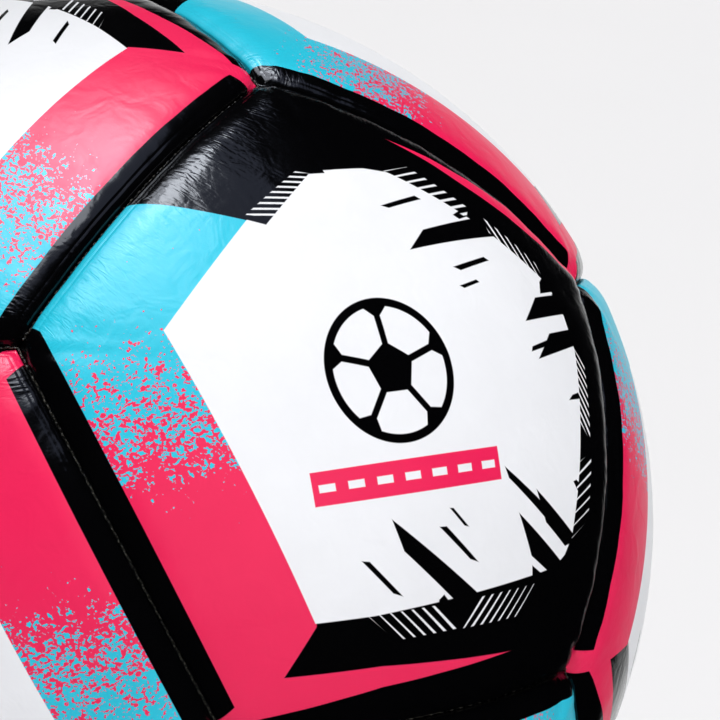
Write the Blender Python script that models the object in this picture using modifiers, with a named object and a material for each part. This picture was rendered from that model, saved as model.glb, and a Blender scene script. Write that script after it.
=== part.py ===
"""A size 4 low-bounce indoor football, built the way a stitched ball is built.

Twelve crowned pentagon panels, each a printed cover with a turned-in seam flange, a foam pad and a
woven lining, are sewn edge to edge along the thirty edges of a dodecahedron. Inside them sit an
inflated bladder with its valve, a balance patch opposite the valve, and the loose foam that damps
the rebound. The frame is in metres, +Z up, with its origin at the centre of the ball. Each of the
axes X, Y and Z runs through the middle of a seam.
"""

import math

import bmesh
import bpy
from mathutils import Matrix, Vector

MM = 0.001

# Driving dimensions.
CIRCUMFERENCE = 630 * MM
BALL_RADIUS = CIRCUMFERENCE / math.tau

COVER_THICKNESS = 1.0 * MM
FOAM_THICKNESS = 3.2 * MM
LINING_THICKNESS = 0.8 * MM
BLADDER_THICKNESS = 0.8 * MM
LAYER_GAP = 0.4 * MM
# Room for a flat or turned piece under the facets of the bladder.
FACET_CLEARANCE = 1.4 * MM

# The seam: how far the crown of a panel drops into it, and how far in the flange is turned.
SEAM_DEPTH = 2.8 * MM
ROLL_WIDTH = 7.0 * MM
SEAM_HALF_GAP = 0.7 * MM
FLANGE_DEPTH = 3.2 * MM
THREAD_RADIUS = 0.4 * MM
THREAD_DEPTH = SEAM_DEPTH
THREAD_END_TRIM = 1.4 * MM
THREAD_STEPS = 6

# Concentric pentagons that a panel is meshed with inside its edge, as shares of the way to the seam.
# The layers share them, so that their facets nest.
COVER_RINGS = (0.36, 0.68, 0.88, 0.965)
PAD_RINGS = (0.36, 0.68)

# Radii of the outer face of each layer, from the centre of the ball.
FOAM_RADIUS = BALL_RADIUS - COVER_THICKNESS - LAYER_GAP
LINING_RADIUS = FOAM_RADIUS - FOAM_THICKNESS - LAYER_GAP
BLADDER_RADIUS = LINING_RADIUS - LINING_THICKNESS - 1.5 * LAYER_GAP
CAVITY_RADIUS = BLADDER_RADIUS - BLADDER_THICKNESS

FOAM_INSET = 5.4 * MM
LINING_INSET = 2.8 * MM

# The valve, on an axis through the middle of one panel. Heights are radii from the ball's centre.
VALVE_FACE = BALL_RADIUS - 1.0 * MM
VALVE_HEAD_RADIUS = 4.5 * MM
VALVE_HEAD_THICKNESS = 1.6 * MM
VALVE_STEM_RADIUS = 3.7 * MM
VALVE_BORE_RADIUS = 2.6 * MM
VALVE_FLANGE_RADIUS = 12.0 * MM
VALVE_FLANGE_THICKNESS = 1.4 * MM
VALVE_LENGTH = 19.0 * MM
VALVE_OUTLET_RADIUS = 1.2 * MM
VALVE_STEPS = 24
FIT_GAP = 0.35 * MM

CORE_LENGTH = 14.0 * MM
CORE_RECESS = 0.4 * MM
NEEDLE_RADIUS = 1.1 * MM
NEEDLE_DEPTH = 6.0 * MM
LEAD_IN_RADIUS = 1.7 * MM
SLIT_WIDTH = 0.4 * MM
SLIT_LENGTH = 2.6 * MM

BALANCE_RADIUS = 12.0 * MM
BALANCE_THICKNESS = 1.6 * MM
FILLING_RADIUS = 46.0 * MM
FILLING_FLATNESS = 0.78

# Names for the panels, by the axis they mostly face and the one they lean to: X, Y, then Z.
MAIN_WORDS = (("left", "right"), ("front", "back"), ("bottom", "top"))
LEAN_WORDS = (("left", "right"), ("front", "back"), ("lower", "upper"))
VALVE_PANEL = "back_upper"

GOLDEN = (1 + math.sqrt(5)) / 2
SIDES = 5
# Angle from the middle of a panel to its corner, and to the middle of its side.
CORNER_ANGLE = math.acos(math.sqrt((5 + 2 * math.sqrt(5)) / 15))
SIDE_ANGLE = math.atan(math.tan(CORNER_ANGLE) * math.cos(math.pi / SIDES))

COLOURS = {
    "cover": ((0.82, 0.82, 0.84), 0.3),
    "foam": ((0.72, 0.70, 0.62), 0.9),
    "lining": ((0.60, 0.58, 0.52), 0.95),
    "thread": ((0.03, 0.03, 0.03), 0.6),
    "bladder": ((0.05, 0.05, 0.055), 0.55),
    "valve": ((0.07, 0.07, 0.075), 0.45),
    "valve_core": ((0.55, 0.10, 0.08), 0.5),
    "filling": ((0.60, 0.62, 0.50), 0.95),
}


def clear_scene():
    for obj in list(bpy.data.objects):
        bpy.data.objects.remove(obj)


def new_collection(name):
    collection = bpy.data.collections.new(name)
    bpy.context.scene.collection.children.link(collection)
    return collection


def material(name):
    found = bpy.data.materials.get(name)
    if found:
        return found
    colour, roughness = COLOURS[name]
    made = bpy.data.materials.new(name)
    made.use_nodes = True
    shader = made.node_tree.nodes["Principled BSDF"]
    shader.inputs["Base Color"].default_value = (*colour, 1)
    shader.inputs["Roughness"].default_value = roughness
    shader.inputs["Metallic"].default_value = 0
    return made


def add_object(name, data, collection, material_name):
    obj = bpy.data.objects.new(name, data)
    collection.objects.link(obj)
    data.materials.append(material(material_name))
    return obj


# The dodecahedron that the panels follow.


def panel_axes():
    """Unit vectors through the middles of the twelve panels, by name. Each axis leans from one of the
    ball's main directions towards another, and the panel is named after the two."""
    axes = {}
    for main, lean in ((1, 2), (0, 1), (2, 0)):
        for main_word, a in zip(MAIN_WORDS[main], (-GOLDEN, GOLDEN)):
            for lean_word, b in zip(LEAN_WORDS[lean], (-1, 1)):
                axis = Vector((0, 0, 0))
                axis[main] = a
                axis[lean] = b
                axes[f"{main_word}_{lean_word}"] = axis.normalized()
    return axes


def corners():
    """Unit vectors to the twenty points where three panels meet."""
    found = [Vector((x, y, z)) for x in (-1, 1) for y in (-1, 1) for z in (-1, 1)]
    for a in (-1 / GOLDEN, 1 / GOLDEN):
        for b in (-GOLDEN, GOLDEN):
            found += [Vector((0, a, b)), Vector((a, b, 0)), Vector((b, 0, a))]
    return [corner.normalized() for corner in found]


def panel_corners(axis):
    nearest = sorted(corners(), key=lambda corner: -corner.dot(axis))
    return nearest[:SIDES]


def panel_frame(axis):
    """Rotation whose Z is the panel's axis and whose X points at one of its corners."""
    corner = min(panel_corners(axis), key=lambda c: (round(-c.z, 4), round(c.x, 4), round(c.y, 4)))
    across = (corner - axis * corner.dot(axis)).normalized()
    return Matrix((across, axis.cross(across), axis)).transposed()


def seam_distance(direction):
    """Distance from a point of the sphere to each seam plane of the panel around +Z, nearest first."""
    distances = []
    for side in range(SIDES):
        turn = math.tau * (side + 0.5) / SIDES
        normal = Vector(
            (math.cos(turn) * math.cos(SIDE_ANGLE), math.sin(turn) * math.cos(SIDE_ANGLE), -math.sin(SIDE_ANGLE))
        )
        distances.append(-BALL_RADIUS * direction.dot(normal))
    return sorted(distances)


def crown_drop(direction):
    """How far the outer face lies under the full sphere: a quarter ellipse beside each seam."""
    near = max(0.0, min(1.0, seam_distance(direction)[0] / ROLL_WIDTH))
    return SEAM_DEPTH * (1 - math.sqrt(1 - (1 - near) ** 2))


# Layers of a panel.


def pentagon_mesh(inner_rings, inset):
    """A pentagon at unit height over the origin, cut into a fan of rings. Its straight sides lie in
    planes through the origin, so that they become great circles on a sphere."""
    side_distance = math.tan(SIDE_ANGLE)
    rings = (*inner_rings, math.tan(SIDE_ANGLE - inset / BALL_RADIUS) / side_distance)
    mesh = bmesh.new()
    bmesh.ops.create_circle(
        mesh, cap_ends=True, cap_tris=True, segments=SIDES, radius=side_distance / math.cos(math.pi / SIDES)
    )
    first = min(mesh.verts, key=lambda v: abs(math.atan2(v.co.y, v.co.x)) if v.co.length > 0.1 else 9)
    turn = math.atan2(first.co.y, first.co.x)
    bmesh.ops.rotate(mesh, verts=mesh.verts, matrix=Matrix.Rotation(-turn, 3, "Z"))
    bmesh.ops.subdivide_edges(mesh, edges=mesh.edges[:], cuts=len(rings) - 1, use_grid_fill=True)
    bmesh.ops.triangulate(mesh, faces=mesh.faces[:])
    for vert in mesh.verts:
        share = max(
            vert.co.x * math.cos(math.tau * (side + 0.5) / SIDES)
            + vert.co.y * math.sin(math.tau * (side + 0.5) / SIDES)
            for side in range(SIDES)
        )
        ring = round(share / side_distance * len(rings))
        if ring:
            vert.co *= rings[ring - 1] * side_distance / share
        vert.co.z = 1
    return mesh


def layer_surface(name, rings, inset, radius_at, flange=0.0):
    """The outer face of one layer as an open mesh about +Z, with its edge turned in by flange."""
    mesh = pentagon_mesh(rings, inset)
    for vert in mesh.verts:
        direction = vert.co.normalized()
        vert.co = direction * radius_at(direction)
    if flange:
        rim = [edge for edge in mesh.edges if edge.is_boundary]
        turned = bmesh.ops.extrude_edge_only(mesh, edges=rim)["geom"]
        for vert in turned:
            if isinstance(vert, bmesh.types.BMVert):
                vert.co -= vert.co.normalized() * flange
    bmesh.ops.recalc_face_normals(mesh, faces=mesh.faces[:])
    if sum(face.normal.dot(face.calc_center_median()) for face in mesh.faces) < 0:
        bmesh.ops.reverse_faces(mesh, faces=mesh.faces[:])
    data = bpy.data.meshes.new(name)
    mesh.to_mesh(data)
    mesh.free()
    return data


def add_layer(name, surface, thickness, placement, collection, material_name):
    obj = add_object(name, surface.copy(), collection, material_name)
    obj.matrix_world = placement.to_4x4()
    solid = obj.modifiers.new("thickness", "SOLIDIFY")
    solid.thickness = thickness
    solid.offset = -1
    solid.use_even_offset = True
    obj.data.shade_smooth()
    return obj


def cut(obj, cutter):
    boolean = obj.modifiers.new("valve hole", "BOOLEAN")
    boolean.operation = "DIFFERENCE"
    boolean.object = cutter


# The valve and the pieces inside the bladder.


def turned(name, profile, axis, collection, material_name):
    """A solid turned about the given axis through the ball's centre. The profile's points are
    (radius, distance from the centre), from the top down along the outside."""
    outline = bpy.data.meshes.new(name)
    points = [(radius, 0, height) for radius, height in profile]
    closed = profile[0][0] > 0
    edges = [(i, i + 1) for i in range(len(points) - 1)] + ([(len(points) - 1, 0)] if closed else [])
    outline.from_pydata(points, edges, [])
    obj = add_object(name, outline, collection, material_name)
    obj.matrix_world = panel_frame(axis).to_4x4()
    screw = obj.modifiers.new("turned", "SCREW")
    screw.steps = VALVE_STEPS
    screw.render_steps = VALVE_STEPS
    screw.use_merge_vertices = True
    screw.merge_threshold = 0.01 * MM
    screw.use_smooth_shade = False
    return obj


def add_valve_body(axis, collection):
    under_bladder = CAVITY_RADIUS - FACET_CLEARANCE
    flange_fall = VALVE_FLANGE_RADIUS**2 / (2 * under_bladder)
    stem = VALVE_STEM_RADIUS
    head_bottom = VALVE_FACE - VALVE_HEAD_THICKNESS
    foot = VALVE_FACE - VALVE_LENGTH
    core_seat = VALVE_FACE - CORE_RECESS - CORE_LENGTH - FIT_GAP
    profile = [
        (VALVE_BORE_RADIUS, VALVE_FACE),
        (VALVE_HEAD_RADIUS - 0.4 * MM, VALVE_FACE),
        (VALVE_HEAD_RADIUS, VALVE_FACE - 0.4 * MM),
        (VALVE_HEAD_RADIUS, head_bottom),
        (stem, head_bottom),
        (stem, under_bladder - 0.3 * MM),
        (VALVE_FLANGE_RADIUS, under_bladder - flange_fall),
        (VALVE_FLANGE_RADIUS, under_bladder - flange_fall - 0.5 * MM),
        (stem, under_bladder - VALVE_FLANGE_THICKNESS - 0.6 * MM),
        (stem, foot + 2 * MM),
        (stem - 1.2 * MM, foot),
        (VALVE_OUTLET_RADIUS, foot),
        (VALVE_OUTLET_RADIUS, core_seat),
        (VALVE_BORE_RADIUS, core_seat),
    ]
    return turned("valve_body", profile, axis, collection, "valve")


def add_valve_core(axis, collection, cutters):
    """A plug with a blind channel that takes the needle, and a slit below it that seals the air in."""
    top = VALVE_FACE - CORE_RECESS
    bottom = top - CORE_LENGTH
    radius = VALVE_BORE_RADIUS - FIT_GAP
    channel_end = top - NEEDLE_DEPTH
    profile = [
        (0, channel_end),
        (NEEDLE_RADIUS, channel_end),
        (NEEDLE_RADIUS, top - 1.2 * MM),
        (LEAD_IN_RADIUS, top),
        (radius, top),
        (radius, bottom + 1.5 * MM),
        (radius - 0.7 * MM, bottom),
        (0, bottom),
    ]
    core = turned("valve_core", profile, axis, collection, "valve_core")
    slit_height = CORE_LENGTH - NEEDLE_DEPTH + 3 * MM
    bpy.ops.mesh.primitive_cube_add(size=1)
    slit = bpy.context.object
    slit.name = "slit_cutter"
    slit.data.transform(Matrix.Diagonal((SLIT_LENGTH, SLIT_WIDTH, slit_height, 1)))
    slit.data.transform(Matrix.Translation((0, 0, bottom - 1.5 * MM + slit_height / 2)))
    slit.matrix_world = panel_frame(axis).to_4x4()
    make_cutter(slit, cutters)
    cut(core, slit)
    return core


def make_cutter(obj, cutters):
    for collection in list(obj.users_collection):
        collection.objects.unlink(obj)
    cutters.objects.link(obj)
    obj.hide_render = True
    obj.display_type = "WIRE"


def add_hole_cutter(name, radius, axis, cutters):
    bpy.ops.mesh.primitive_cylinder_add(vertices=VALVE_STEPS, radius=radius, depth=40 * MM)
    cutter = bpy.context.object
    cutter.name = name
    cutter.data.transform(Matrix.Translation((0, 0, BALL_RADIUS - 5 * MM)))
    cutter.matrix_world = panel_frame(axis).to_4x4()
    make_cutter(cutter, cutters)
    return cutter


def add_bladder(collection, hole):
    """A moulded sphere. It has the panels' facets, so that the layers nest without touching."""
    mesh = bmesh.new()
    for axis in panel_axes().values():
        surface = layer_surface("bladder_patch", PAD_RINGS, 0, lambda direction: BLADDER_RADIUS)
        surface.transform(panel_frame(axis).to_4x4())
        mesh.from_mesh(surface)
        bpy.data.meshes.remove(surface)
    bmesh.ops.remove_doubles(mesh, verts=mesh.verts[:], dist=0.01 * MM)
    bmesh.ops.recalc_face_normals(mesh, faces=mesh.faces[:])
    data = bpy.data.meshes.new("bladder")
    mesh.to_mesh(data)
    mesh.free()
    bladder = add_layer("bladder", data, BLADDER_THICKNESS, Matrix.Identity(3), collection, "bladder")
    cut(bladder, hole)
    return bladder


def add_balance_patch(axis, collection):
    """A rubber disc bonded inside the bladder, opposite the valve, that evens out its weight."""
    outer = CAVITY_RADIUS - FACET_CLEARANCE
    fall = BALANCE_RADIUS**2 / (2 * outer)
    profile = [
        (0, outer),
        (0.5 * BALANCE_RADIUS, outer - fall / 4),
        (BALANCE_RADIUS, outer - fall),
        (BALANCE_RADIUS, outer - fall - 0.5 * MM),
        (0.5 * BALANCE_RADIUS, outer - fall / 4 - BALANCE_THICKNESS),
        (0, outer - BALANCE_THICKNESS),
    ]
    return turned("balance_patch", profile, -axis, collection, "bladder")


def add_filling(collection):
    """The loose foam that damps the rebound. It lies at the bottom of the bladder."""
    bpy.ops.mesh.primitive_ico_sphere_add(subdivisions=3, radius=FILLING_RADIUS)
    filling = bpy.context.object
    filling.name = "rebound_foam"
    height = FILLING_RADIUS * FILLING_FLATNESS
    filling.data.transform(Matrix.Diagonal((1, 1, FILLING_FLATNESS, 1)))
    rest = CAVITY_RADIUS - height - 3 * MM
    filling.location = (0, 0, -rest)
    for old in list(filling.users_collection):
        old.objects.unlink(filling)
    collection.objects.link(filling)
    filling.data.materials.append(material("filling"))
    filling.data.shade_smooth()
    return filling


# The seam thread.


def neighbours_of(points):
    """For each corner, the three corners that a seam joins it to."""
    found = []
    for here in points:
        order = sorted(range(len(points)), key=lambda i: -points[i].dot(here))
        found.append(set(order[1:4]))
    return found


def paired(free, joined):
    """Pairs the free corners along seams, so that each corner is in one pair."""
    if not free:
        return []
    first = min(free)
    for other in sorted(joined[first] & free):
        rest = paired(free - {first, other}, joined)
        if rest is not None:
            return [(first, other), *rest]
    return None


def thread_routes():
    """Ten lengths of thread, each sewing three seams in a row, so that every seam is sewn once. The
    middle seam of a length joins a pair of corners, and its ends go on round the seams left over."""
    points = corners()
    joined = neighbours_of(points)
    pairs = paired(frozenset(range(len(points))), joined)
    partner = dict(pairs) | {b: a for a, b in pairs}
    onward = {}
    for start in range(len(points)):
        here = start
        before = None
        while here not in onward:
            choices = sorted(joined[here] - {partner[here], before})
            onward[here] = choices[0]
            before = here
            here = onward[here]
    return [[points[i] for i in (onward[a], a, b, onward[b])] for a, b in pairs]


def add_thread(name, route, collection):
    """A cord that lies between the flanges and stops short of the threads that it meets."""
    radius = BALL_RADIUS - THREAD_DEPTH
    points = []
    for start, end in zip(route, route[1:]):
        points += [start.slerp(end, step / THREAD_STEPS) * radius for step in range(THREAD_STEPS)]
    points.append(route[-1] * radius)
    for end, inner in ((0, 1), (-1, -2)):
        points[end] = points[end] + (points[inner] - points[end]).normalized() * THREAD_END_TRIM
    curve = bpy.data.curves.new(name, "CURVE")
    curve.dimensions = "3D"
    curve.bevel_depth = THREAD_RADIUS
    curve.bevel_resolution = 1
    curve.use_fill_caps = True
    spline = curve.splines.new("POLY")
    spline.points.add(len(points) - 1)
    for target, point in zip(spline.points, points):
        target.co = (*point, 1)
    return add_object(name, curve, collection, "thread")


def build():
    clear_scene()
    ball = new_collection("football")
    cutters = new_collection("cutters")
    axes = panel_axes()
    valve_axis = axes[VALVE_PANEL]

    cover_hole = add_hole_cutter("cover_hole", VALVE_HEAD_RADIUS + FIT_GAP, valve_axis, cutters)
    stem_hole = add_hole_cutter("stem_hole", VALVE_STEM_RADIUS + FIT_GAP, valve_axis, cutters)

    cover = layer_surface(
        "cover", COVER_RINGS, SEAM_HALF_GAP, lambda d: BALL_RADIUS - crown_drop(d), flange=FLANGE_DEPTH
    )
    foam = layer_surface("foam", PAD_RINGS, FOAM_INSET, lambda d: FOAM_RADIUS - crown_drop(d))
    lining = layer_surface("lining", PAD_RINGS, LINING_INSET, lambda d: LINING_RADIUS)
    for name, axis in axes.items():
        placement = panel_frame(axis)
        layers = [
            add_layer(f"cover_{name}", cover, COVER_THICKNESS, placement, ball, "cover"),
            add_layer(f"foam_{name}", foam, FOAM_THICKNESS, placement, ball, "foam"),
            add_layer(f"lining_{name}", lining, LINING_THICKNESS, placement, ball, "lining"),
        ]
        if name == VALVE_PANEL:
            for layer in layers:
                cut(layer, cover_hole)

    for number, route in enumerate(thread_routes(), start=1):
        add_thread(f"seam_thread_{number:02d}", route, ball)

    add_bladder(ball, stem_hole)
    add_valve_body(valve_axis, ball)
    add_valve_core(valve_axis, ball, cutters)
    add_balance_patch(valve_axis, ball)
    add_filling(ball)


build()
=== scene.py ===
import math

import bmesh
import bpy
import numpy as np
from mathutils import Matrix, Vector


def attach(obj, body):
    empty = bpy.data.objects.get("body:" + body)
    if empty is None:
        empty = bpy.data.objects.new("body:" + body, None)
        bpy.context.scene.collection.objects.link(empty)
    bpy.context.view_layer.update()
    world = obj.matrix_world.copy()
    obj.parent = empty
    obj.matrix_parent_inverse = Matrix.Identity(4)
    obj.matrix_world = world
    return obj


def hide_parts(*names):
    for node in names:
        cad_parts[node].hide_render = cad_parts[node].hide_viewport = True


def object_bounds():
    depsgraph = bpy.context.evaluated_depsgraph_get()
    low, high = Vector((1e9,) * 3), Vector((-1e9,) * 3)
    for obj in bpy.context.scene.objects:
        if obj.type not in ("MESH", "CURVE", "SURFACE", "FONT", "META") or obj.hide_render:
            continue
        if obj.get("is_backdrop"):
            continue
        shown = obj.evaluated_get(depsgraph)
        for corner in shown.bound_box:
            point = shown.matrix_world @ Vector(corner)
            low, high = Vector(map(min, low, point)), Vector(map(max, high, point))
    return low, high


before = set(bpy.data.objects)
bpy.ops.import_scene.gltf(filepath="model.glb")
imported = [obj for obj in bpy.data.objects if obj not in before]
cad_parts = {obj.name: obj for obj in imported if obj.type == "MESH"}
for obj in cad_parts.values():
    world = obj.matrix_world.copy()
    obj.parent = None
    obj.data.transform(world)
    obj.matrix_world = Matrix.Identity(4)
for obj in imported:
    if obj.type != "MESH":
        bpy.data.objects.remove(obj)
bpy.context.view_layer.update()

# The looks of a stitched size 4 indoor football: twelve printed pentagon covers with rolled edges, the
# beaded stitching in the seams, a rubber valve, and the pads, linings and bladder inside.

MM = 0.001

# Sizes that follow the CAD. The covers' edges and the thread are finer here.
CIRCUMFERENCE = 630 * MM
BALL_RADIUS = CIRCUMFERENCE / math.tau
COVER_THICKNESS = 1.0 * MM
FOAM_THICKNESS = 3.2 * MM
LINING_THICKNESS = 0.8 * MM
BLADDER_THICKNESS = 0.8 * MM
LAYER_GAP = 0.4 * MM
FACET_CLEARANCE = 1.4 * MM
SEAM_DEPTH = 2.8 * MM
ROLL_WIDTH = 7.0 * MM
COVER_EDGE = 0.4 * MM
FLANGE_DEPTH = 3.2 * MM
THREAD_RADIUS = 0.17 * MM
THREAD_DEPTH = SEAM_DEPTH + 0.05 * MM
THREAD_END_TRIM = 1.4 * MM
FOAM_RADIUS = BALL_RADIUS - COVER_THICKNESS - LAYER_GAP
LINING_RADIUS = FOAM_RADIUS - FOAM_THICKNESS - LAYER_GAP
BLADDER_RADIUS = LINING_RADIUS - LINING_THICKNESS - 1.5 * LAYER_GAP
CAVITY_RADIUS = BLADDER_RADIUS - BLADDER_THICKNESS
FOAM_INSET = 5.4 * MM
LINING_INSET = 2.8 * MM

VALVE_PANEL = "back_upper"
VALVE_FACE = BALL_RADIUS - 1.0 * MM
VALVE_HEAD_RADIUS = 4.5 * MM
VALVE_HEAD_THICKNESS = 1.6 * MM
VALVE_STEM_RADIUS = 3.7 * MM
VALVE_BORE_RADIUS = 2.6 * MM
VALVE_FLANGE_RADIUS = 12.0 * MM
VALVE_FLANGE_THICKNESS = 1.4 * MM
VALVE_LENGTH = 19.0 * MM
VALVE_OUTLET_RADIUS = 1.2 * MM
FIT_GAP = 0.35 * MM
VALVE_HOLE = VALVE_HEAD_RADIUS + FIT_GAP
# The ledge that the head's face steps down to round the core.
VALVE_LEDGE_DEPTH = 0.25 * MM
VALVE_LEDGE_WIDTH = 0.5 * MM
VALVE_LEDGE_SLOPE = 0.2 * MM
VALVE_FLANGE_RIM = 0.5 * MM
VALVE_FLANGE_FILLET = 0.3 * MM
VALVE_ROUNDING = 0.35 * MM
VALVE_TIP_TAPER = 1.2 * MM
VALVE_TIP_LENGTH = 2.0 * MM
CORE_LENGTH = 14.0 * MM
CORE_RECESS = 0.4 * MM
NEEDLE_RADIUS = 1.1 * MM
NEEDLE_DEPTH = 6.0 * MM
LEAD_IN_RADIUS = 1.7 * MM
LEAD_IN_DEPTH = 1.2 * MM
CORE_ROUNDING = 0.25 * MM
CORE_TIP_TAPER = 0.7 * MM
CORE_TIP_LENGTH = 1.5 * MM
BALANCE_RADIUS = 12.0 * MM
BALANCE_THICKNESS = 1.6 * MM
BALANCE_RIM = 0.5 * MM
# The line where the bladder's mould halves met.
FLASH_HEIGHT = 0.2 * MM
FLASH_WIDTH = 0.5 * MM
FLASH_ROOM = 0.25 * MM
BLADDER_RINGS = 97
BLADDER_STEPS = 144
FILLING_RADIUS = 46.0 * MM
FILLING_FLATNESS = 0.78
FILLING_CLEARANCE = 3.0 * MM
LUMP_HEIGHT = 0.8 * MM
LUMP_ROOM = 1.5 * MM

# The two panels that the others' colour bands lie round, with the way that the print's top points.
HUBS = {"front_upper": 1, "back_lower": -1}

GOLDEN = (1 + math.sqrt(5)) / 2
SIDES = 5
# Angle from the middle of a panel to its corner and to the middle of its side, and the way to that side
# measured on the ball.
CORNER_ANGLE = math.acos(math.sqrt((5 + 2 * math.sqrt(5)) / 15))
SIDE_ANGLE = math.atan(math.tan(CORNER_ANGLE) * math.cos(math.pi / SIDES))
PANEL_REACH = SIDE_ANGLE * BALL_RADIUS
# The print has a corner at the top. The middle of the first side after it is here.
FIRST_SIDE = math.radians(90 + 36)

MAIN_WORDS = (("left", "right"), ("front", "back"), ("bottom", "top"))
LEAN_WORDS = (("left", "right"), ("front", "back"), ("lower", "upper"))


# The dodecahedron that the panels follow.


def panel_axes():
    """Unit vectors through the middles of the twelve panels, by the names that the CAD gives them."""
    axes = {}
    for main, lean in ((1, 2), (0, 1), (2, 0)):
        for main_word, a in zip(MAIN_WORDS[main], (-GOLDEN, GOLDEN)):
            for lean_word, b in zip(LEAN_WORDS[lean], (-1, 1)):
                axis = Vector((0, 0, 0))
                axis[main] = a
                axis[lean] = b
                axes[f"{main_word}_{lean_word}"] = axis.normalized()
    return axes


def corners():
    """Unit vectors to the twenty points where three panels meet."""
    found = [Vector((x, y, z)) for x in (-1, 1) for y in (-1, 1) for z in (-1, 1)]
    for a in (-1 / GOLDEN, 1 / GOLDEN):
        for b in (-GOLDEN, GOLDEN):
            found += [Vector((0, a, b)), Vector((a, b, 0)), Vector((b, 0, a))]
    return [corner.normalized() for corner in found]


def side_turn(side):
    """Direction of the middle of a side in the print's plane."""
    return FIRST_SIDE + math.tau * side / SIDES


def print_frame(name, axes):
    """Rotation from the print's frame, Y to its top corner and Z out of the ball, to the ball's."""
    axis = axes[name]
    if name in HUBS:
        up = Vector((0, 0, HUBS[name]))
    else:
        hub = max((axes[hub] for hub in HUBS), key=lambda h: h.dot(axis))
        towards = (hub - axis * hub.dot(axis)).normalized()
        # The colour band lies along the second side, which is the one that faces the hub.
        up = Matrix.Rotation(math.pi / 2 - side_turn(1), 3, axis) @ towards
    up = (up - axis * up.dot(axis)).normalized()
    return Matrix((up.cross(axis), up, axis)).transposed()


# Panel meshes, worked out in the print's frame, one sector to a side.


def side_distances(direction):
    """Distance from each point to each of the five seams, measured on the ball."""
    found = []
    for side in range(SIDES):
        turn = side_turn(side)
        inwards = (
            -math.cos(turn) * math.cos(SIDE_ANGLE),
            -math.sin(turn) * math.cos(SIDE_ANGLE),
            math.sin(SIDE_ANGLE),
        )
        found.append(BALL_RADIUS * np.arcsin(np.clip(direction @ np.array(inwards), -1, 1)))
    return np.stack(found, -1)


def crown_drop(direction):
    """How far the outer face dips under the sphere beside the seams, rounded off in the corners."""
    near = np.clip(1 - side_distances(direction) / ROLL_WIDTH, 0, 1)
    near = np.clip((near**4).sum(-1) ** (1 / 4), 0, 1)
    return SEAM_DEPTH * (1 - np.sqrt(1 - near**2))


def crowded(count, crowding, start, stop):
    """Values from start to stop, closer together at the start."""
    share = np.expm1(crowding * np.arange(count + 1) / count) / math.expm1(crowding)
    return start + (stop - start) * share


def sector(side, columns, insets, hole):
    """Unit vectors of a grid with one row for each inset from the seam, across one side's sector."""
    out = np.array((math.cos(side_turn(side)), math.sin(side_turn(side))))
    along = np.array((-out[1], out[0]))
    across = np.linspace(-1, 1, columns + 1)[None, :, None]
    edge = math.tan(SIDE_ANGLE) * (out + math.tan(math.pi / SIDES) * across * along)
    ring = edge / np.linalg.norm(edge, axis=-1, keepdims=True) * hole / BALL_RADIUS
    share = np.tan(SIDE_ANGLE - np.asarray(insets) / BALL_RADIUS) / math.tan(SIDE_ANGLE)
    # With a hole, the rows turn from the pentagon into a circle as they near it.
    flat = ring * (1 - share[:, None, None]) + edge * share[:, None, None]
    points = np.concatenate([flat, np.ones(flat.shape[:2] + (1,))], -1)
    return points / np.linalg.norm(points, axis=-1, keepdims=True)


WELD_DISTANCE = 0.004 * MM
# Keeps the five sides' patterns beside the seam apart, in millimetres.
SEAM_PATTERN_STEP = 40


class GridMesh:
    """Gathers grids of points and welds them into one mesh. Each face corner keeps its place on the
    print, and its place beside its own seam, in millimetres."""

    def __init__(self):
        self.points = []
        self.faces = []
        self.print_at = []
        self.seam_at = []
        self.count = 0

    def add(self, points, directions=None, side=0, outer=True):
        rows, columns = points.shape[:2]
        numbers = self.count + np.arange(rows * columns).reshape(rows, columns)
        quads = np.stack([numbers[:-1, :-1], numbers[:-1, 1:], numbers[1:, 1:], numbers[1:, :-1]], -1)
        self.faces.append(quads.reshape(-1, 4))
        self.points.append(points.reshape(-1, 3))
        self.count += rows * columns
        if directions is None:
            directions = np.tile((0.0, 0.0, 1.0), (rows, columns, 1))
        flat = directions[..., :2] / directions[..., 2:] * BALL_RADIUS / MM
        level = np.ones(flat.shape[:2] + (1,))
        self.print_at.append(np.concatenate([flat, level], -1).reshape(-1, 3))
        turn = side_turn(side)
        along = flat[..., 1] * math.cos(turn) - flat[..., 0] * math.sin(turn)
        inward = side_distances(directions)[..., side] / MM if outer else np.full_like(along, -1)
        apart = np.full_like(along, SEAM_PATTERN_STEP * side)
        self.seam_at.append(np.stack([along, inward, apart], -1).reshape(-1, 3))

    def make(self, name):
        faces = np.concatenate(self.faces)
        mesh = bpy.data.meshes.new(name)
        mesh.from_pydata(np.concatenate(self.points).tolist(), [], faces.tolist())
        for label, values in (("print_at", self.print_at), ("seam_at", self.seam_at)):
            layer = mesh.attributes.new(label, "FLOAT_VECTOR", "CORNER")
            layer.data.foreach_set("vector", np.concatenate(values)[faces.ravel()].ravel())
        work = bmesh.new()
        work.from_mesh(mesh)
        bmesh.ops.remove_doubles(work, verts=work.verts[:], dist=WELD_DISTANCE)
        bmesh.ops.recalc_face_normals(work, faces=work.faces[:])
        work.to_mesh(mesh)
        work.free()
        mesh.shade_smooth()
        return mesh


# Waves that the stitches pull into the cover: length, height and reach from the seam, in millimetres.
WAVES = ((23, 0.10, 12), (11, 0.08, 8), (5.3, 0.05, 5), (3.2, 0.035, 3.5))
WAVE_LEAN = 0.35


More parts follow.
